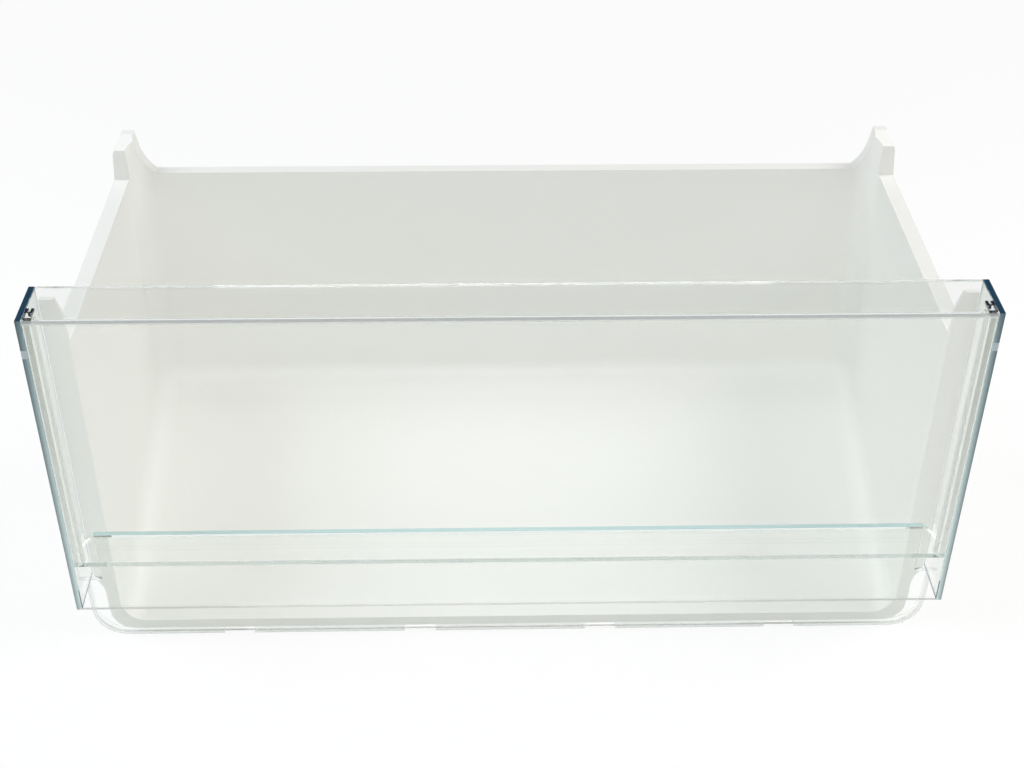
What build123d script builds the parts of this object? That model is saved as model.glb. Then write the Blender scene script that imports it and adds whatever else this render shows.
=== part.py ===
from build123d import *
import math
import os

# Freezer drawer: a white moulded tub, open at the front, where a clear front closes it.
# Millimetres. X runs across the drawer, Y to the rear, Z up; the front faces -Y.
# The origin is the middle of the drawer's box, on its underside.

drawer_depth = 205.0

# Clear front panel: a plate with a ledge along its top and an end plate on each side
panel_width = 460.0
panel_height = 183.5
panel_bottom = 42.5
panel_return = 29.8
clear_wall = 2.8

# Channel behind each upright edge of the panel, with a notch through the ledge over it and a
# thin strip in it
channel_width = 4.2
channel_rib = 1.5
channel_rib_reach = 2.6
notch_reach = 8.2
tooth_inset = 1.6
tooth_width = 1.2
tooth_reach = 3.0
strip_width = 2.5
strip_thickness = 0.8
strip_inset = 0.5

# Clear lower front: a shelf, a low wall at its rear edge and a skirt round the tub's front
shelf_rise = 31.9
shelf_clearance = 0.1
shelf_shoulder = 12.0
low_wall_inset = 9.0
skirt_radius = 18.0
skirt_rim = 1.8
skirt_rim_reach = 5.6
skirt_clearance = 0.3
foot_gap_width = 17.0
foot_gap_pitch = 100.7
foot_gap_count = 4

# White tub
tub_wall = 2.5
tub_inset = 15.2
side_draft = 0.25
back_lean = 2.4
rim_drop = 30.3
side_rim = 8.2
back_rim = 7.0
floor_height = 9.2
floor_slope = 15.5
floor_back_radius = 18.0
corner_radius = 12.0

# Flange round the tub's open front, with an ear above each rim
flange_border = 5.9
flange_radius = 12.2
shoulder_height = 12.0
ear_side_clearance = 1.2
ear_top_clearance = 4.6
ear_top_width = 7.2
ear_foot_rise = 3.5

# Ear on each rear corner
rear_ear_height = 23.7
rear_ear_length = 15.0
rear_ear_face = 18.6
rear_ear_flat = 5.0
rear_ear_top_width = 6.9
rear_ear_taper = 4.8
rear_ear_shoulder = 16.5
rear_ear_shoulder_inset = 1.4
rear_ear_flank = 1.9
rear_ear_foot = 8.4
rear_ear_foot_height = 14.3

# Places worked out from the sizes above
half_panel = panel_width / 2
panel_top = panel_bottom + panel_height
front = -drawer_depth / 2
rear = drawer_depth / 2
panel_inside = front + clear_wall
flange_front = front + panel_return - clear_wall
low_wall_front = flange_front - clear_wall
ledge_under = panel_top - clear_wall
shelf_top = panel_bottom + shelf_rise
half_low_wall = half_panel - low_wall_inset
rim_top = panel_top - rim_drop
half_tub = half_panel - tub_inset
half_rim = half_tub + side_rim
half_flange = half_tub + flange_border
flange_bottom = floor_height - flange_border
ear_top = ledge_under - ear_top_clearance
channel_outside = half_panel - clear_wall
channel_inside = channel_outside - channel_width
half_ear = channel_outside - ear_side_clearance
rear_ear_top = rim_top + rear_ear_height
headroom = 2 * rear_ear_height

floor_plane = Plane(
    origin=(0, flange_front, floor_height),
    x_dir=(1, 0, 0),
    z_dir=(0, -math.sin(math.radians(floor_slope)), math.cos(math.radians(floor_slope))),
)
back_plane = Plane(
    origin=(0, rear - back_rim, rim_top),
    x_dir=(1, 0, 0),
    z_dir=(0, -math.cos(math.radians(back_lean)), math.sin(math.radians(back_lean))),
)


def upright(y):
    """The upright plane across the drawer at this y; a negative extrusion runs to the rear."""
    return Plane.XZ.offset(-y)


def tub_form(grow):
    """The space inside the tub, grown outwards by this much and carried on above the rim.

    The sides lean out by the draft, the floor climbs to the rear and the back wall leans back.
    One rounding joins the floor to the back wall, and another runs down each rear corner and
    along the side of the floor. Both radii grow with the form.
    """
    draft = math.tan(math.radians(side_draft))
    half_foot = half_tub + grow - rim_top * draft
    half_top = half_tub + grow + headroom * draft
    with BuildPart() as form:
        with BuildSketch(upright(flange_front)):
            with BuildLine():
                Polyline(
                    (-half_foot, 0),
                    (half_foot, 0),
                    (half_top, rim_top + headroom),
                    (-half_top, rim_top + headroom),
                    close=True,
                )
            make_face()
        extrude(amount=-2 * drawer_depth)
        split(bisect_by=floor_plane.offset(-grow), keep=Keep.TOP)
        split(bisect_by=back_plane.offset(-grow), keep=Keep.TOP)
        low_edges = form.edges().filter_by(Axis.X).sort_by(Axis.Z)[:2]
        fillet(low_edges.sort_by(Axis.Y)[-1], radius=floor_back_radius + grow)
        back_face = form.faces().sort_by(Axis.Y)[-1]
        fillet(back_face.edges().filter_by(Axis.X, reverse=True), radius=corner_radius + grow)
    return form.part


def flange_outline():
    """The outline of the tub's front flange: a U with an ear at the top of each side."""
    shoulder_top = panel_bottom + skirt_clearance
    with BuildSketch(upright(flange_front)) as outline:
        with BuildLine():
            Line((0, flange_bottom), (half_flange - flange_radius, flange_bottom))
            RadiusArc(
                (half_flange - flange_radius, flange_bottom),
                (half_flange, flange_bottom + flange_radius),
                -flange_radius,
            )
            Line(
                (half_flange, flange_bottom + flange_radius),
                (half_flange, shoulder_top - shoulder_height),
            )
            TangentArc(
                (half_flange, shoulder_top - shoulder_height),
                (half_ear, shoulder_top),
                tangent=(0, 1),
            )
            Polyline((half_ear, shoulder_top), (half_ear, ear_top), (half_ear - ear_top_width, ear_top))
            TangentArc(
                (half_tub, rim_top + ear_foot_rise),
                (half_ear - ear_top_width, ear_top),
                tangent=(0, 1),
            )
            Line((half_tub, rim_top + ear_foot_rise), (0, rim_top + ear_foot_rise))
            Line((0, rim_top + ear_foot_rise), (0, flange_bottom))
        make_face()
        mirror(about=Plane.YZ)
    return outline.sketch


def rear_ear_form(shrink):
    """The form of the right rear ear, shrunk by this much on each side but the rear."""
    ear_front = rear - rear_ear_length
    top_outside = half_rim - rear_ear_taper
    top_inside = top_outside - rear_ear_top_width
    bend = (top_inside - rear_ear_flank, rim_top + rear_ear_foot_height)
    with BuildPart() as ear:
        with BuildSketch(upright(ear_front + shrink)):
            with BuildLine():
                Polyline(
                    (bend[0] - rear_ear_foot, rim_top),
                    (half_rim, rim_top),
                    (half_rim - rear_ear_shoulder_inset, rim_top + rear_ear_shoulder),
                    (top_outside, rear_ear_top),
                    (top_inside, rear_ear_top),
                )
                flank = Line((top_inside, rear_ear_top), bend)
                TangentArc(bend, (bend[0] - rear_ear_foot, rim_top), tangent=flank % 1)
            make_face()
            if shrink:
                offset(amount=-shrink, kind=Kind.INTERSECTION)
        extrude(amount=-rear_ear_length)
        with BuildSketch(Plane.YZ):
            with BuildLine():
                Polyline(
                    (ear_front, rim_top),
                    (rear, rim_top),
                    (rear, rear_ear_top - shrink),
                    (rear - rear_ear_flat, rear_ear_top - shrink),
                    (ear_front, rim_top + rear_ear_face - shrink),
                    close=True,
                )
            make_face()
        extrude(amount=2 * half_rim, mode=Mode.INTERSECT)
    return ear.part


def rear_ear():
    """The ear on the right rear corner: a tapered hood with a sloping brow, hollow from behind."""
    with BuildPart() as ear:
        add(rear_ear_form(0))
        with BuildPart(mode=Mode.SUBTRACT):
            add(rear_ear_form(tub_wall))
            add(tub_form(tub_wall), mode=Mode.SUBTRACT)
    return ear.part


def shelf_outline():
    """The shelf from the plate back to the low wall, narrowing where it leaves the end plates."""
    half_shelf = channel_outside - shelf_clearance
    shelf_front = panel_inside + shelf_clearance
    with BuildSketch(Plane.XY.offset(shelf_top)) as outline:
        with BuildLine():
            Polyline(
                (0, shelf_front),
                (half_shelf, shelf_front),
                (half_shelf, shelf_front + shelf_shoulder),
                (half_low_wall, flange_front),
                (0, flange_front),
                close=True,
            )
        make_face()
        mirror(about=Plane.YZ)
    return outline.sketch


def skirt_outline():
    """The skirt's outer U, from the lowest feet up to the panel's lower edge."""
    top = panel_bottom - skirt_clearance
    with BuildSketch(upright(low_wall_front)) as outline:
        with BuildLine():
            Polyline((0, top), (0, 0), (half_panel - skirt_radius, 0))
            RadiusArc((half_panel - skirt_radius, 0), (half_panel, skirt_radius), -skirt_radius)
            Polyline((half_panel, skirt_radius), (half_panel, top), (0, top))
        make_face()
        mirror(about=Plane.YZ)
    return outline.sketch


def skirt_recess():
    """The recess behind the skirt that leaves its rim and clears the tub's flange."""
    half = half_panel - skirt_rim
    radius = skirt_radius - skirt_rim
    top = panel_bottom
    with BuildSketch(upright(flange_front)) as outline:
        with BuildLine():
            Polyline((0, top), (0, skirt_rim), (half - radius, skirt_rim))
            RadiusArc((half - radius, skirt_rim), (half, skirt_rim + radius), -radius)
            Polyline((half, skirt_rim + radius), (half, top), (0, top))
        make_face()
        mirror(about=Plane.YZ)
    return outline.sketch


# Tub: the grown form less the form itself, with rims, flange and ears joined on
with BuildPart() as tub:
    add(tub_form(tub_wall))
    split(bisect_by=Plane.XY.offset(rim_top), keep=Keep.BOTTOM)
    with BuildSketch(Plane.XY.offset(rim_top)):
        with Locations((0, (flange_front + rear) / 2)):
            Rectangle(2 * half_rim, rear - flange_front)
    extrude(amount=-tub_wall)
    extrude(flange_outline(), amount=-tub_wall)
    add(rear_ear())
    add(mirror(rear_ear(), about=Plane.YZ, mode=Mode.PRIVATE))
    add(tub_form(0), mode=Mode.SUBTRACT)

# Front panel: a shallow box, open at the rear and below, with a channel at each end
with BuildPart() as front_panel:
    with BuildSketch(Plane.XY.offset(panel_bottom)):
        with Locations((0, front + panel_return / 2)):
            Rectangle(panel_width, panel_return)
    extrude(amount=panel_height)
    with BuildSketch(Plane.XY.offset(panel_bottom)):
        with Locations((0, panel_inside + panel_return / 2)):
            Rectangle(2 * channel_outside, panel_return)
    extrude(amount=panel_height - clear_wall, mode=Mode.SUBTRACT)
    for side in (-1, 1):
        rib_x = side * (channel_inside - channel_rib / 2)
        notch_x = side * (channel_outside - channel_width / 2)
        tooth_x = side * (channel_outside - tooth_inset - tooth_width / 2)
        with BuildSketch(Plane.XY.offset(shelf_top)):
            with Locations((rib_x, panel_inside + channel_rib_reach / 2)):
                Rectangle(channel_rib, channel_rib_reach)
        extrude(amount=ledge_under - shelf_top)
        with BuildSketch(Plane.XY.offset(ledge_under)):
            with Locations((notch_x, panel_inside + notch_reach / 2)):
                Rectangle(channel_width, notch_reach)
        extrude(amount=clear_wall, mode=Mode.SUBTRACT)
        with BuildSketch(Plane.XY.offset(ledge_under)):
            with Locations((tooth_x, panel_inside + notch_reach - tooth_reach / 2)):
                Rectangle(tooth_width, tooth_reach)
        extrude(amount=clear_wall)

# Lower front: the low wall and the skirt in one plane, a rim round the skirt, and the shelf
with BuildPart() as lower_front:
    extrude(skirt_outline(), amount=-skirt_rim_reach)
    extrude(skirt_recess(), amount=-skirt_rim_reach, mode=Mode.SUBTRACT)
    with BuildSketch(upright(low_wall_front)):
        with Locations((0, (shelf_top + skirt_rim) / 2)):
            Rectangle(2 * half_low_wall, shelf_top - skirt_rim)
    extrude(amount=-clear_wall)
    extrude(shelf_outline(), amount=-clear_wall)
    for place in range(foot_gap_count):
        gap_x = (place - (foot_gap_count - 1) / 2) * foot_gap_pitch
        with BuildSketch(upright(low_wall_front)):
            with Locations((gap_x, skirt_rim / 2)):
                Rectangle(foot_gap_width, skirt_rim)
        extrude(amount=-skirt_rim_reach, mode=Mode.SUBTRACT)

# Strips: one in each channel, stuck to the rear of the plate
with BuildPart() as corner_strip_right:
    with BuildSketch(Plane.XY.offset(shelf_top)):
        strip_x = channel_outside - strip_inset - strip_width / 2
        with Locations((strip_x, panel_inside + strip_thickness / 2)):
            Rectangle(strip_width, strip_thickness)
    extrude(amount=ledge_under - shelf_top)
with BuildPart() as corner_strip_left:
    add(mirror(corner_strip_right.part, about=Plane.YZ, mode=Mode.PRIVATE))

os.makedirs("parts", exist_ok=True)
tub.part.label = "tub"
export_step(tub.part, "parts/tub.step")
front_panel.part.label = "front_panel"
export_step(front_panel.part, "parts/front_panel.step")
lower_front.part.label = "lower_front"
export_step(lower_front.part, "parts/lower_front.step")
corner_strip_left.part.label = "corner_strip_left"
export_step(corner_strip_left.part, "parts/corner_strip_left.step")
corner_strip_right.part.label = "corner_strip_right"
export_step(corner_strip_right.part, "parts/corner_strip_right.step")
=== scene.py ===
import math

import bpy
from bpy.props import FloatProperty, FloatVectorProperty, PointerProperty
from bpy.types import Operator, Panel, PropertyGroup
from mathutils import Matrix, Vector


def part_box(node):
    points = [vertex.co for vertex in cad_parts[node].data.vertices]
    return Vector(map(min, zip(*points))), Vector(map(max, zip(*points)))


bl_info = {
    "name": "Freezer Drawer",
    "version": (1, 0, 0),
    "blender": (4, 5, 0),
    "location": "3D View > Sidebar > Drawer",
    "description": "Finishes a freezer drawer: a white moulded tub with a clear front",
    "category": "Object",
}

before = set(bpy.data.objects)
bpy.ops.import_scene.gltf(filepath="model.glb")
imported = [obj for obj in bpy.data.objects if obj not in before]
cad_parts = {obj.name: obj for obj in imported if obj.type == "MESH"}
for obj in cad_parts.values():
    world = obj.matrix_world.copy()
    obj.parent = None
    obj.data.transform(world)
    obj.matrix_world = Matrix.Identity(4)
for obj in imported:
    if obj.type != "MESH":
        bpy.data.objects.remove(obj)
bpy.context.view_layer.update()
MM = 0.001

POLYSTYRENE_IOR = 1.59
CLEAR_WALL = 2.8 * MM

# A point this close to a face lies on it, and a normal with this share along an axis faces that way.
ON_FACE = 0.1 * MM
TURNED = 0.5

SENSOR_WIDTH = 36.0
LAMP_AIM = Vector((0.0, 0.02, 0.08))


def srgb(code):
    """A linear colour, with an alpha of 1, from an sRGB hex value such as #F2F2ED."""
    values = [int(code[i:i + 2], 16) / 255 for i in (1, 3, 5)]
    linear = [v / 12.92 if v <= 0.04045 else ((v + 0.055) / 1.055) ** 2.4 for v in values]
    return (*linear, 1.0)


def add_node(tree, kind, inputs=None, **settings):
    """A new node with its settings; each input is a value, an output, or a node for its first output."""
    node = tree.nodes.new(kind)
    for name, value in settings.items():
        setattr(node, name, value)
    for name, value in (inputs or {}).items():
        if isinstance(value, bpy.types.Node):
            value = value.outputs[0]
        if isinstance(value, bpy.types.NodeSocket):
            tree.links.new(value, node.inputs[name])
        else:
            node.inputs[name].default_value = value
    return node


def new_material(name):
    """An empty node material and its tree."""
    material = bpy.data.materials.new(name)
    material.use_nodes = True
    material.node_tree.nodes.clear()
    return material, material.node_tree


def finish_with(node, material):
    """Gives a CAD node's object this one material."""
    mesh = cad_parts[node].data
    mesh.materials.clear()
    mesh.materials.append(material)


class DrawerTub(PropertyGroup):
    """The look of the white tub."""

    colour: FloatVectorProperty(
        name="Plastic", description="Colour of the moulded tub", subtype="COLOR", size=4,
        min=0, max=1, default=srgb("#F1F1ED"),
    )
    grain: FloatProperty(
        name="Grain", description="Spacing of the faint texture left by the mould",
        subtype="DISTANCE", unit="LENGTH", min=0.0001, default=1.2 * MM,
    )


class DrawerClear(PropertyGroup):
    """The look of the clear front."""

    body: FloatVectorProperty(
        name="Clear", description="Tint of one wall seen through", subtype="COLOR", size=4,
        min=0, max=1, default=srgb("#FEFFFE"),
    )
    soft_way: FloatVectorProperty(
        name="Soft way", description="Tint of lamps and soft light at each face that they shine through",
        subtype="COLOR", size=4, min=0, max=1, default=srgb("#FEFFFE"),
    )
    long_way: FloatVectorProperty(
        name="Long way", description="Tint of light that has run on and on inside a wall",
        subtype="COLOR", size=4, min=0, max=1, default=srgb("#F0F5F4"),
    )
    # Painted shade over the plastic's blue-green edge tint: the navy of the ledge's ends stands in for
    # the dim light seen down the whole end plate.
    edge_dark: FloatVectorProperty(
        name="Dark edge", description="Tint of the ledge's ends, seen down the whole end plate",
        subtype="COLOR", size=4, min=0, max=1, default=srgb("#1E3D54"),
    )
    # The upright edges' colours are the plastic's blue-green edge tint with painted light and shade:
    # dark at the top and on the outer side, paler inwards and downwards.
    outer_high: FloatVectorProperty(
        name="Outer edge, high", description="Tint of the upright edges' outer side at the top",
        subtype="COLOR", size=4, min=0, max=1, default=srgb("#3C5A62"),
    )
    outer_low: FloatVectorProperty(
        name="Outer edge, low", description="Tint of the upright edges' outer side at the bottom",
        subtype="COLOR", size=4, min=0, max=1, default=srgb("#8B9A99"),
    )
    inner_high: FloatVectorProperty(
        name="Inner edge, high", description="Tint of the upright edges' inner side at the top",
        subtype="COLOR", size=4, min=0, max=1, default=srgb("#4B6D79"),
    )
    inner_low: FloatVectorProperty(
        name="Inner edge, low", description="Tint of the upright edges' inner side at the bottom",
        subtype="COLOR", size=4, min=0, max=1, default=srgb("#DCEFEF"),
    )
    # Painted highlight: a pale band across the upright edges.
    painted_edge_glint: FloatVectorProperty(
        name="Edge glint", description="Pale band across the upright edges", subtype="COLOR",
        size=4, min=0, max=1, default=srgb("#ADBDC2"),
    )
    # Painted light over the plastic's edge tint: the low wall's upper edge shows, as an opaque colour,
    # the blue-green light that has run along inside the wall.
    shelf_edge_light: FloatVectorProperty(
        name="Shelf edge", description="Tint of the low wall's upper edge", subtype="COLOR",
        size=4, min=0, max=1, default=srgb("#B9D6D6"),
    )
    # Painted reflection: a faint milky sheen on the end plates' inner faces, seen aslant.
    end_face_sheen: FloatVectorProperty(
        name="End face", description="Faint milky look of the end plates' inner faces, seen aslant",
        subtype="COLOR", size=4, min=0, max=1, default=srgb("#E6E8E3"),
    )
    # Painted shade: a grey line along the ledge's rear edge.
    ledge_edge_shade: FloatVectorProperty(
        name="Ledge edge", description="Tint of the ledge's rear edge", subtype="COLOR",
        size=4, min=0, max=1, default=srgb("#C9CCC5"),
    )
    # Painted shade: the clear rib beside each strip is greyed.
    rib: FloatVectorProperty(
        name="Rib", description="Tint of the rib beside each strip", subtype="COLOR",
        size=4, min=0, max=1, default=srgb("#C9CDC5"),
    )
    # Painted shade: the notches' sides are near black.
    notch_shade: FloatVectorProperty(
        name="Notch", description="Tint of the notches' sides", subtype="COLOR",
        size=4, min=0, max=1, default=srgb("#262838"),
    )
    # Painted shade: a grey line along the panel's lower edge.
    foot_edge_shade: FloatVectorProperty(
        name="Foot edge", description="Tint of the panel's lower edge", subtype="COLOR",
        size=4, min=0, max=1, default=srgb("#AFAEA9"),
    )
    # Painted shade: a grey band on the plate where the ledge is seen end on.
    ledge_front_shade: FloatVectorProperty(
        name="Ledge front", description="Tint of the plate where the ledge is seen end on",
        subtype="COLOR", size=4, min=0, max=1, default=srgb("#CBD1D0"),
    )
    # Painted light and shade where light catches the skirt rim's rounded edges: two thin grey lines,
    # with a pale painted highlight between them.
    painted_rim_line: FloatVectorProperty(
        name="Rim line", description="Tint of the two thin lines along the skirt's rim", subtype="COLOR",
        size=4, min=0, max=1, default=srgb("#E6EBE6"),
    )
    painted_rim_highlight: FloatVectorProperty(
        name="Rim", description="Pale look of the skirt's rim between its lines", subtype="COLOR",
        size=4, min=0, max=1, default=srgb("#FCFDFC"),
    )
    # Where the painted highlight band lies below the panel's top, and how tall it is.
    painted_glint_drop: FloatProperty(
        name="Glint drop", description="How far the pale band lies below the panel's top",
        subtype="DISTANCE", unit="LENGTH", default=19.0 * MM,
    )
    painted_glint_height: FloatProperty(
        name="Glint height", description="Height of the pale band", subtype="DISTANCE",
        unit="LENGTH", default=4.6 * MM,
    )


class DrawerStrip(PropertyGroup):
    """The look of the corner strips."""

    # Painted shade: the tape is grey at the top and pales towards the bottom.
    high: FloatVectorProperty(
        name="Foam, high", description="Colour of the foam tape at the top", subtype="COLOR", size=4,
        min=0, max=1, default=srgb("#CBD0C7"),
    )
    low: FloatVectorProperty(
        name="Foam, low", description="Colour of the foam tape at the bottom", subtype="COLOR", size=4,
        min=0, max=1, default=srgb("#F4F5F1"),
    )
    cell_shade: FloatVectorProperty(
        name="Cell shade", description="Colour that the foam's cells are mottled with",
        subtype="COLOR", size=4, min=0, max=1, default=srgb("#8E938B"),
    )
    cell: FloatProperty(
        name="Cell", description="Size of the foam's cells, drawn as coarse as they need to show",
        subtype="DISTANCE", unit="LENGTH", default=0.6 * MM,
    )


class DrawerStage(PropertyGroup):
    """The camera, the lamps and the floor."""

    lens: FloatProperty(name="Lens", description="Focal length in mm on a 36 mm sensor", default=55.2)
    place: FloatVectorProperty(
        name="Camera", description="Where the camera stands", subtype="TRANSLATION", size=3,
        default=(-14.7 * MM, -708.7 * MM, 629.5 * MM),
    )
    heading: FloatProperty(
        name="Heading", description="Turn to the right of straight back", subtype="ANGLE",
        default=math.radians(1.363),
    )
    dip: FloatProperty(
        name="Dip", description="Angle that the camera looks down", subtype="ANGLE",
        default=math.radians(36.07),
    )
    roll: FloatProperty(
        name="Roll", description="Turn about the line of sight", subtype="ANGLE",
        default=math.radians(-0.296),
    )
    ambient: FloatProperty(name="Ambient", description="Strength of the white room", default=0.3)
    dark_wall: FloatProperty(
        name="Dark wall", description="Strength of the room's upper walls in reflections", default=0.08,
    )
    ceiling: FloatProperty(
        name="Ceiling", description="Strength of the room's ceiling in reflections", default=0.8,
    )
    sides: FloatProperty(
        name="Sides", description="Power of each lamp above a side, in watts", default=7.1,
    )
    overhead: FloatProperty(
        name="Overhead", description="Power of the lamp overhead, in watts", default=1.2,
    )
    fill: FloatProperty(name="Fill", description="Power of the lamp in front, in watts", default=4.2)
    warm: FloatVectorProperty(
        name="Warm lamp", description="Colour of the right lamp", subtype="COLOR", size=3,
        min=0, max=1, default=srgb("#FFFDF9")[:3],
    )
    cool: FloatVectorProperty(
        name="Cool lamp", description="Colour of the left lamp", subtype="COLOR", size=3,
        min=0, max=1, default=srgb("#EFF8FF")[:3],
    )
    floor: FloatVectorProperty(
        name="Floor", description="Colour of the pale floor", subtype="COLOR", size=4,
        min=0, max=1, default=srgb("#FFFFFF"),
    )


def moulded_polystyrene(colour, grain):
    """High-impact polystyrene from a satin mould: even, slightly milky, with a broad soft sheen."""
    patches_per_metre = 9.0
    patch_shade = 0.975
    noise_low, noise_high = 0.3, 0.7
    smoothest, roughest = 0.34, 0.42
    grain_depth = 0.05 * MM
    grain_strength = 0.04
    patch = [value * patch_shade for value in colour[:3]] + [1.0]
    material, tree = new_material("moulded_white_polystyrene")
    place = add_node(tree, "ShaderNodeTexCoord").outputs["Object"]
    fine = add_node(
        tree, "ShaderNodeTexNoise",
        {"Vector": place, "Scale": 1 / grain, "Detail": 3.0, "Roughness": 0.6},
    )
    broad = add_node(
        tree, "ShaderNodeTexNoise", {"Vector": place, "Scale": patches_per_metre, "Detail": 2.0},
    )
    shade = add_node(
        tree, "ShaderNodeMix", {"Factor": broad.outputs["Fac"], "A": colour, "B": patch},
        data_type="RGBA",
    )
    sheen = add_node(
        tree, "ShaderNodeMapRange",
        {
            "Value": fine.outputs["Fac"], "From Min": noise_low, "From Max": noise_high,
            "To Min": smoothest, "To Max": roughest,
        },
    )
    bump = add_node(
        tree, "ShaderNodeBump",
        {"Height": fine.outputs["Fac"], "Strength": grain_strength, "Distance": grain_depth},
    )
    skin = add_node(
        tree, "ShaderNodeBsdfPrincipled",
        {
            "Base Color": shade.outputs["Result"], "Roughness": sheen.outputs["Result"],
            "IOR": POLYSTYRENE_IOR, "Normal": bump.outputs["Normal"],
        },
    )
    add_node(tree, "ShaderNodeOutputMaterial", {"Surface": skin.outputs["BSDF"]})
    return material


def clear_polystyrene(name, look, edges):
    """Clear polystyrene, polished by its mould, so that it is all but invisible face on.

    edges adds the nodes that find where light that has run along inside the wall comes out
    blue-green, and where other light and shade are painted on the clear wall, and gives that
    painted colour and how much it covers the clear wall. Lamps and soft light shine through the
    walls. Light that has bounced about inside one too often comes out with the tint of its long way.
    """
    most_mirrored = 2.5
    most_bounced = 9.5
    material, tree = new_material(name)
    colour, cover = edges(tree, look)
    # The painted light and shade replace the clear wall where they cover it.
    tint = add_node(
        tree, "ShaderNodeMix", {"Factor": cover, "A": tuple(look.body), "B": colour}, data_type="RGBA",
    )
    through = add_node(
        tree, "ShaderNodeMath", {0: 1.0, 1: cover}, operation="SUBTRACT", use_clamp=True,
    )
    wall = add_node(
        tree, "ShaderNodeBsdfPrincipled",
        {
            "Base Color": tint.outputs["Result"], "Roughness": 0.02, "IOR": POLYSTYRENE_IOR,
            "Transmission Weight": through,
        },
    )
    path = add_node(tree, "ShaderNodeLightPath")
    mirrored = add_node(
        tree, "ShaderNodeMath", {0: path.outputs["Glossy Depth"], 1: most_mirrored},
        operation="GREATER_THAN",
    )
    bounced = add_node(
        tree, "ShaderNodeMath", {0: path.outputs["Ray Depth"], 1: most_bounced},
        operation="GREATER_THAN",
    )
    tired = add_node(tree, "ShaderNodeMath", {0: mirrored, 1: bounced}, operation="MAXIMUM")
    soft = add_node(
        tree, "ShaderNodeMath",
        {0: path.outputs["Is Shadow Ray"], 1: path.outputs["Is Diffuse Ray"]}, operation="MAXIMUM",
    )
    far_tint = add_node(
        tree, "ShaderNodeMix",
        {"Factor": tired, "A": tuple(look.soft_way), "B": tuple(look.long_way)}, data_type="RGBA",
    )
    window = add_node(tree, "ShaderNodeBsdfTransparent", {"Color": far_tint.outputs["Result"]})
    let_by = add_node(tree, "ShaderNodeMath", {0: soft, 1: tired}, operation="MAXIMUM")
    both = add_node(tree, "ShaderNodeMixShader", {0: let_by, 1: wall, 2: window})
    add_node(tree, "ShaderNodeOutputMaterial", {"Surface": both})
    return material


def surface_point(tree):
    """Nodes for a point: how far it is from the drawer's middle plane, its place and its normal."""
    place = add_node(
        tree, "ShaderNodeSeparateXYZ", {0: add_node(tree, "ShaderNodeTexCoord").outputs["Object"]},
    )
    facing = add_node(
        tree, "ShaderNodeSeparateXYZ",
        {0: add_node(tree, "ShaderNodeNewGeometry").outputs["True Normal"]},
    )
    side = add_node(tree, "ShaderNodeMath", {0: place.outputs["X"]}, operation="ABSOLUTE")
    return side, place, facing


def zone(tree, spot, low, high):
    """1 where the spot, given by three outputs, lies in the box between two corners, and 0 elsewhere."""
    inside = 1.0
    for value, least, most in zip(spot, low, high):
        near = add_node(
            tree, "ShaderNodeMath", {0: value, 1: (least + most) / 2, 2: (most - least) / 2},
            operation="COMPARE",
        )
        inside = add_node(tree, "ShaderNodeMath", {0: inside, 1: near}, operation="MULTIPLY")
    return inside


def layered(tree, layers):
    """The colour at a point and how much it covers the clear wall, from layers laid over each other.

    Each layer has a mask, a cover and a colour.
    """
    colour, cover = srgb("#FFFFFF"), 0.0
    for mask, share, tint in layers:
        colour = add_node(
            tree, "ShaderNodeMix", {"Factor": mask, "A": colour, "B": tint}, data_type="RGBA",
        ).outputs["Result"]
        cover = add_node(
            tree, "ShaderNodeMix", {"Factor": mask, "A": cover, "B": share},
        ).outputs["Result"]
    return colour, cover


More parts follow.
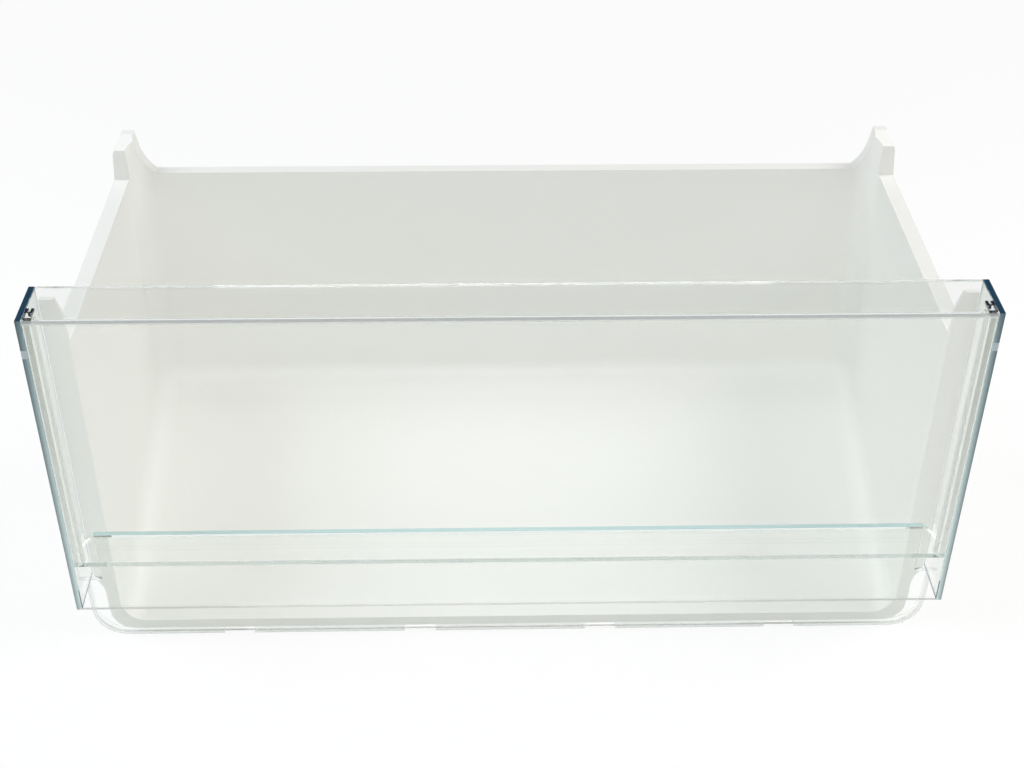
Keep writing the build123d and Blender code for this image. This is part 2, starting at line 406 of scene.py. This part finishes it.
def end_plate_edges(tree, look, side, place, facing, inner):
    """Where the end plates' edges face up or forward, and their colour there.

    Their colour is partly the plastic's blue-green edge tint and partly painted light and shade: navy on
    top, and in front darker at the top, paling inwards and downwards, with a painted highlight band near
    the top.
    inner is how far the end plates' inner faces are from the drawer's middle plane.
    """
    low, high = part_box("front_panel")
    in_end = add_node(tree, "ShaderNodeMath", {0: side, 1: inner}, operation="GREATER_THAN")
    up_or_forward = add_node(
        tree, "ShaderNodeMath", {0: facing.outputs["Z"], 1: facing.outputs["Y"]}, operation="SUBTRACT",
    )
    on_edge = add_node(
        tree, "ShaderNodeMath", {0: up_or_forward, 1: TURNED}, operation="GREATER_THAN",
    )
    edge = add_node(tree, "ShaderNodeMath", {0: in_end, 1: on_edge}, operation="MULTIPLY")
    # Painted light and shade over the edge tint: darker at the top and on the outer side, paler inwards
    # and downwards.
    across = add_node(
        tree, "ShaderNodeMapRange", {"Value": side, "From Min": inner, "From Max": high.x},
    )
    down = add_node(
        tree, "ShaderNodeMapRange", {"Value": place.outputs["Z"], "From Min": high.z, "From Max": low.z},
    )
    outer_side = add_node(
        tree, "ShaderNodeMix",
        {"Factor": down, "A": tuple(look.outer_high), "B": tuple(look.outer_low)}, data_type="RGBA",
    )
    soon_down = add_node(tree, "ShaderNodeMath", {0: down}, operation="SQRT")
    inner_side = add_node(
        tree, "ShaderNodeMix",
        {"Factor": soon_down, "A": tuple(look.inner_high), "B": tuple(look.inner_low)},
        data_type="RGBA",
    )
    upright = add_node(
        tree, "ShaderNodeMix",
        {"Factor": across, "A": inner_side.outputs["Result"], "B": outer_side.outputs["Result"]},
        data_type="RGBA",
    )
    # Painted highlight: a pale band across the upright edges, a set drop below the panel's top.
    in_painted_glint = add_node(
        tree, "ShaderNodeMath",
        {0: place.outputs["Z"], 1: high.z - look.painted_glint_drop, 2: look.painted_glint_height / 2},
        operation="COMPARE",
    )
    with_painted_glint = add_node(
        tree, "ShaderNodeMix",
        {"Factor": in_painted_glint, "A": upright.outputs["Result"], "B": tuple(look.painted_edge_glint)},
        data_type="RGBA",
    )
    on_top = add_node(
        tree, "ShaderNodeMath", {0: facing.outputs["Z"], 1: TURNED}, operation="GREATER_THAN",
    )
    colour = add_node(
        tree, "ShaderNodeMix",
        {"Factor": on_top, "A": with_painted_glint.outputs["Result"], "B": tuple(look.edge_dark)},
        data_type="RGBA",
    )
    return edge, colour.outputs["Result"]


def panel_edges(tree, look):
    """The colours painted on the panel: painted shade on its edges, on the ribs beside its strips and in
    the ledge's notches, a painted reflection on the end plates' inner faces, and painted light and shade
    over the blue-green tint of the end plates' edges.
    """
    low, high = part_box("front_panel")
    strip_gap = 0.5 * MM
    channel = 4.2 * MM
    rib = 1.5 * MM
    rib_reach = 2.6 * MM
    notch_reach = 8.2 * MM
    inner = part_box("corner_strip_right")[1].x + strip_gap
    inside = low.y + CLEAR_WALL
    under = high.z - CLEAR_WALL
    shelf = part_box("lower_front")[1].z
    side, place, facing = surface_point(tree)
    spot = (side, place.outputs["Y"], place.outputs["Z"])
    # Painted reflection on the end plates' inner faces.
    end_face_sheen = zone(tree, spot, (inner - ON_FACE, inside, shelf), (inner + ON_FACE, high.y, under))
    # Painted shade where the ledge is seen end on.
    ledge_front_shade = zone(tree, spot, (0, low.y - ON_FACE, under), (inner, low.y + ON_FACE, high.z))
    # Painted shade along the ledge's rear edge.
    ledge_edge_shade = zone(
        tree, spot, (0, high.y - ON_FACE, under - ON_FACE), (inner, high.y + ON_FACE, high.z),
    )
    # Painted shade along the panel's foot.
    foot = zone(tree, spot, (0, low.y, low.z - ON_FACE), (inner, inside, low.z + ON_FACE))
    # Painted shade on the ribs beside the strips.
    shaded_rib_faces = zone(
        tree, spot,
        (inner - channel - rib - ON_FACE, inside + ON_FACE, low.z),
        (inner - channel + ON_FACE, inside + rib_reach + ON_FACE, under - ON_FACE),
    )
    # Painted shade in the ledge's notches.
    notch_shade = zone(
        tree, spot,
        (inner - channel - ON_FACE, inside - ON_FACE, under + ON_FACE),
        (inner + ON_FACE, inside + notch_reach + ON_FACE, high.z - ON_FACE),
    )
    edge, edge_colour = end_plate_edges(tree, look, side, place, facing, inner)
    return layered(tree, (
        (end_face_sheen, 0.5, tuple(look.end_face_sheen)),
        (ledge_edge_shade, 0.4, tuple(look.ledge_edge_shade)),
        (foot, 0.9, tuple(look.foot_edge_shade)),
        (shaded_rib_faces, 0.7, tuple(look.rib)),
        (ledge_front_shade, 0.4, tuple(look.ledge_front_shade)),
        (notch_shade, 1.0, tuple(look.notch_shade)),
        (edge, 1.0, edge_colour),
    ))


def lower_front_edges(tree, look):
    """The painted light on the low wall's upper edge, over the plastic's edge tint, and on the skirt's
    rim: a pale painted highlight between two thin grey painted lines.

    The lines follow the skirt's outline, so they lie at set distances in from it, also round its
    lower corners.
    """
    low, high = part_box("lower_front")
    tub_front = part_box("tub")[0].y
    skirt_radius = 18.0 * MM
    rim_width = 1.8 * MM
    outer_line_in = 0.2 * MM
    inner_line_in = 1.7 * MM
    line_width = 0.4 * MM
    side, place, facing = surface_point(tree)
    # Painted light on the low wall's upper edge, covering the clear wall fully.
    upper = zone(
        tree, (side, place.outputs["Y"], place.outputs["Z"]),
        (0, tub_front - CLEAR_WALL - ON_FACE, high.z - ON_FACE),
        (high.x, tub_front + ON_FACE, high.z + ON_FACE),
    )
    past_side = add_node(
        tree, "ShaderNodeMath", {0: side, 1: high.x - skirt_radius}, operation="SUBTRACT",
    )
    past_foot = add_node(
        tree, "ShaderNodeMath", {0: low.z + skirt_radius, 1: place.outputs["Z"]}, operation="SUBTRACT",
    )
    across = add_node(tree, "ShaderNodeMath", {0: past_side, 1: 0.0}, operation="MAXIMUM")
    down = add_node(tree, "ShaderNodeMath", {0: past_foot, 1: 0.0}, operation="MAXIMUM")
    reach = add_node(
        tree, "ShaderNodeVectorMath",
        {0: add_node(tree, "ShaderNodeCombineXYZ", {"X": across, "Z": down})}, operation="LENGTH",
    ).outputs["Value"]
    inwards = add_node(tree, "ShaderNodeMath", {0: skirt_radius, 1: reach}, operation="SUBTRACT")
    outer_line = add_node(
        tree, "ShaderNodeMath", {0: inwards, 1: outer_line_in, 2: line_width / 2}, operation="COMPARE",
    )
    inner_line = add_node(
        tree, "ShaderNodeMath", {0: inwards, 1: inner_line_in, 2: line_width / 2}, operation="COMPARE",
    )
    lines = add_node(tree, "ShaderNodeMath", {0: outer_line, 1: inner_line}, operation="MAXIMUM")
    # Painted highlight across the rim, and painted lines at set distances in from its outline.
    in_rim = add_node(
        tree, "ShaderNodeMath", {0: inwards, 1: rim_width / 2, 2: rim_width / 2}, operation="COMPARE",
    )
    forward = add_node(
        tree, "ShaderNodeMath", {0: facing.outputs["Y"], 1: -TURNED}, operation="LESS_THAN",
    )
    painted_rim_lines = add_node(tree, "ShaderNodeMath", {0: lines, 1: forward}, operation="MULTIPLY")
    rim = add_node(tree, "ShaderNodeMath", {0: in_rim, 1: forward}, operation="MULTIPLY")
    return layered(tree, (
        (rim, 0.8, tuple(look.painted_rim_highlight)),
        (painted_rim_lines, 0.8, tuple(look.painted_rim_line)),
        (upper, 1.0, tuple(look.shelf_edge_light)),
    ))


def foam_tape(look):
    """Closed-cell foam tape: dull, faintly mottled by its cells, with painted shade: grey at the top,
    paler towards the bottom.
    """
    most_mottled = 0.25
    low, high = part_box("corner_strip_left")
    material, tree = new_material("foam_tape")
    place = add_node(tree, "ShaderNodeTexCoord").outputs["Object"]
    height = add_node(tree, "ShaderNodeSeparateXYZ", {0: place}).outputs["Z"]
    # Painted shade: grey at the top, paling towards the bottom.
    down = add_node(
        tree, "ShaderNodeMapRange", {"Value": height, "From Min": high.z, "From Max": low.z},
    )
    shade = add_node(
        tree, "ShaderNodeMix", {"Factor": down, "A": tuple(look.high), "B": tuple(look.low)},
        data_type="RGBA",
    )
    cells = add_node(tree, "ShaderNodeTexVoronoi", {"Vector": place, "Scale": 1 / look.cell})
    mottle = add_node(
        tree, "ShaderNodeMapRange", {"Value": cells.outputs["Distance"], "To Max": most_mottled},
    )
    mottled = add_node(
        tree, "ShaderNodeMix",
        {"Factor": mottle, "A": shade.outputs["Result"], "B": tuple(look.cell_shade)},
        data_type="RGBA",
    )
    skin = add_node(
        tree, "ShaderNodeBsdfPrincipled",
        {"Base Color": mottled.outputs["Result"], "Roughness": 0.8},
    )
    add_node(tree, "ShaderNodeOutputMaterial", {"Surface": skin})
    return material


def set_camera(context, look):
    """Sets the camera, turned right by the heading, down by the dip, then about its line of sight."""
    ahead = Vector((
        math.sin(look.heading) * math.cos(look.dip),
        math.cos(look.heading) * math.cos(look.dip),
        -math.sin(look.dip),
    ))
    across = Vector((math.cos(look.heading), -math.sin(look.heading), 0))
    down = ahead.cross(across)
    right = math.cos(look.roll) * across + math.sin(look.roll) * down
    up = math.sin(look.roll) * across - math.cos(look.roll) * down
    data = bpy.data.cameras.new("camera")
    data.lens = look.lens
    data.sensor_width = SENSOR_WIDTH
    camera = bpy.data.objects.new("camera", data)
    turn = Matrix((right, up, -ahead)).transposed().to_4x4()
    camera.matrix_world = Matrix.Translation(look.place) @ turn
    context.collection.objects.link(camera)
    context.scene.camera = camera


def seen_directly(tree, path):
    """1 for rays from the camera, also once they have passed through a clear wall, and 0 for others."""
    return add_node(
        tree, "ShaderNodeMath",
        {0: path.outputs["Is Camera Ray"], 1: path.outputs["Is Transmission Ray"]},
        operation="MAXIMUM",
    )


def set_room(context, look):
    """Sets a white room: full white to the camera, softer as light, with a darker band in reflections.

    The band's edges are heights of the view's direction, from 0 at the horizon to 1 overhead.
    """
    band_from, band_full = 0.1, 0.45
    ceiling_from, ceiling_full = 0.57, 0.68
    world = bpy.data.worlds.new("white_room")
    world.use_nodes = True
    tree = world.node_tree
    tree.nodes.clear()
    path = add_node(tree, "ShaderNodeLightPath")
    way = add_node(
        tree, "ShaderNodeSeparateXYZ", {0: add_node(tree, "ShaderNodeTexCoord").outputs["Generated"]},
    )
    low_wall = add_node(
        tree, "ShaderNodeMapRange",
        {
            "Value": way.outputs["Z"], "From Min": band_from, "From Max": band_full,
            "To Min": 1.0, "To Max": look.dark_wall,
        },
    )
    ceiling = add_node(
        tree, "ShaderNodeMapRange",
        {
            "Value": way.outputs["Z"], "From Min": ceiling_from, "From Max": ceiling_full,
            "To Max": look.ceiling,
        },
    )
    mirrored = add_node(tree, "ShaderNodeMath", {0: low_wall, 1: ceiling}, operation="MAXIMUM")
    lit = add_node(
        tree, "ShaderNodeMix",
        {"Factor": path.outputs["Is Glossy Ray"], "A": look.ambient, "B": mirrored},
    )
    strength = add_node(
        tree, "ShaderNodeMath", {0: seen_directly(tree, path), 1: lit}, operation="MAXIMUM",
    )
    white = add_node(tree, "ShaderNodeBackground", {"Color": srgb("#FFFFFF"), "Strength": strength})
    add_node(tree, "ShaderNodeOutputWorld", {"Surface": white})
    context.scene.world = world


def add_lamp(context, name, power, colour, size, place):
    """Adds a square soft lamp at a place, facing the middle of the drawer."""
    data = bpy.data.lights.new(name, "AREA")
    data.energy = power
    data.color = colour
    data.size = size
    lamp = bpy.data.objects.new(name, data)
    aim = (LAMP_AIM - Vector(place)).to_track_quat("-Z", "Y")
    lamp.matrix_world = Matrix.Translation(place) @ aim.to_matrix().to_4x4()
    context.collection.objects.link(lamp)


def add_floor(context, look):
    """Adds a pale floor, white to the camera but for a share of the soft shadow near the drawer."""
    reach = 4.0
    level = -0.5 * MM
    shadow_to, white_from = 0.4, 1.6
    near_glow = 0.8
    corners = [(x * reach, y * reach, level) for x, y in ((-1, -1), (1, -1), (1, 1), (-1, 1))]
    mesh = bpy.data.meshes.new("floor")
    mesh.from_pydata(corners, [], [(0, 1, 2, 3)])
    material, tree = new_material("pale_floor")
    path = add_node(tree, "ShaderNodeLightPath")
    seen = add_node(
        tree, "ShaderNodeMath", {0: seen_directly(tree, path), 1: path.outputs["Is Glossy Ray"]},
        operation="MAXIMUM",
    )
    away = add_node(
        tree, "ShaderNodeVectorMath", {0: add_node(tree, "ShaderNodeTexCoord").outputs["Object"]},
        operation="LENGTH",
    )
    glow_share = add_node(
        tree, "ShaderNodeMapRange",
        {
            "Value": away.outputs["Value"], "From Min": shadow_to, "From Max": white_from,
            "To Min": near_glow, "To Max": 1.0,
        },
    )
    share = add_node(tree, "ShaderNodeMath", {0: seen, 1: glow_share}, operation="MULTIPLY")
    matt = add_node(tree, "ShaderNodeBsdfDiffuse", {"Color": tuple(look.floor)})
    glow = add_node(tree, "ShaderNodeEmission", {"Color": tuple(look.floor), "Strength": 1.0})
    mix = add_node(tree, "ShaderNodeMixShader", {0: share, 1: matt, 2: glow})
    add_node(tree, "ShaderNodeOutputMaterial", {"Surface": mix})
    mesh.materials.append(material)
    floor = bpy.data.objects.new("floor", mesh)
    context.collection.objects.link(floor)


class DRAWER_OT_tub(Operator):
    """Finish the tub in white moulded polystyrene"""

    bl_idname = "drawer.tub"
    bl_label = "Tub"

    def execute(self, context):
        look = context.scene.drawer_tub
        finish_with("tub", moulded_polystyrene(tuple(look.colour), look.grain))
        return {"FINISHED"}


class DRAWER_OT_clear_front(Operator):
    """Finish the front panel and the lower front in clear polystyrene"""

    bl_idname = "drawer.clear_front"
    bl_label = "Clear front"

    def execute(self, context):
        look = context.scene.drawer_clear
        finish_with("front_panel", clear_polystyrene("clear_polystyrene_panel", look, panel_edges))
        finish_with("lower_front", clear_polystyrene("clear_polystyrene_frame", look, lower_front_edges))
        return {"FINISHED"}


class DRAWER_OT_corner_strips(Operator):
    """Finish the strips in the panel's corners as foam tape"""

    bl_idname = "drawer.corner_strips"
    bl_label = "Corner strips"

    def execute(self, context):
        tape = foam_tape(context.scene.drawer_strip)
        for side in ("left", "right"):
            finish_with(f"corner_strip_{side}", tape)
        return {"FINISHED"}


class DRAWER_OT_stage(Operator):
    """Set the camera, the lamps, the white room and the pale floor"""

    bl_idname = "drawer.stage"
    bl_label = "Stage"

    def execute(self, context):
        look = context.scene.drawer_stage
        white = (1.0, 1.0, 1.0)
        # Each lamp has a name, a power, a colour, a width and a place.
        lamps = (
            ("lamp_right", look.sides, look.warm, 0.7, (0.9, 0.1, 1.0)),
            ("lamp_left", look.sides, look.cool, 0.7, (-0.9, 0.1, 1.0)),
            ("lamp_overhead", look.overhead, white, 0.5, (0.0, 0.1, 1.4)),
            ("lamp_front", look.fill, white, 0.7, (0.0, -1.2, 0.7)),
        )
        set_camera(context, look)
        set_room(context, look)
        for lamp in lamps:
            add_lamp(context, *lamp)
        add_floor(context, look)
        context.scene.view_settings.view_transform = "Standard"
        return {"FINISHED"}


class DRAWER_PT_sidebar(Panel):
    """The drawer's pieces and their looks"""

    bl_idname = "DRAWER_PT_sidebar"
    bl_label = "Freezer drawer"
    bl_space_type = "VIEW_3D"
    bl_region_type = "UI"
    bl_category = "Drawer"

    def draw(self, context):
        groups = (
            ("drawer.tub", context.scene.drawer_tub),
            ("drawer.clear_front", context.scene.drawer_clear),
            ("drawer.corner_strips", context.scene.drawer_strip),
            ("drawer.stage", context.scene.drawer_stage),
        )
        for operator, group in groups:
            box = self.layout.box()
            box.operator(operator)
            for name in group.__annotations__:
                box.prop(group, name)


CLASSES = (
    DrawerTub,
    DrawerClear,
    DrawerStrip,
    DrawerStage,
    DRAWER_OT_tub,
    DRAWER_OT_clear_front,
    DRAWER_OT_corner_strips,
    DRAWER_OT_stage,
    DRAWER_PT_sidebar,
)


def register():
    for item in CLASSES:
        bpy.utils.register_class(item)
    bpy.types.Scene.drawer_tub = PointerProperty(type=DrawerTub)
    bpy.types.Scene.drawer_clear = PointerProperty(type=DrawerClear)
    bpy.types.Scene.drawer_strip = PointerProperty(type=DrawerStrip)
    bpy.types.Scene.drawer_stage = PointerProperty(type=DrawerStage)


def unregister():
    del bpy.types.Scene.drawer_stage
    del bpy.types.Scene.drawer_strip
    del bpy.types.Scene.drawer_clear
    del bpy.types.Scene.drawer_tub
    for item in reversed(CLASSES):
        bpy.utils.unregister_class(item)


def main():
    """Makes the drawer and its stage."""
    register()
    bpy.ops.drawer.stage()
    bpy.ops.drawer.tub()
    bpy.ops.drawer.clear_front()
    bpy.ops.drawer.corner_strips()


if __name__ == "__main__":
    main()
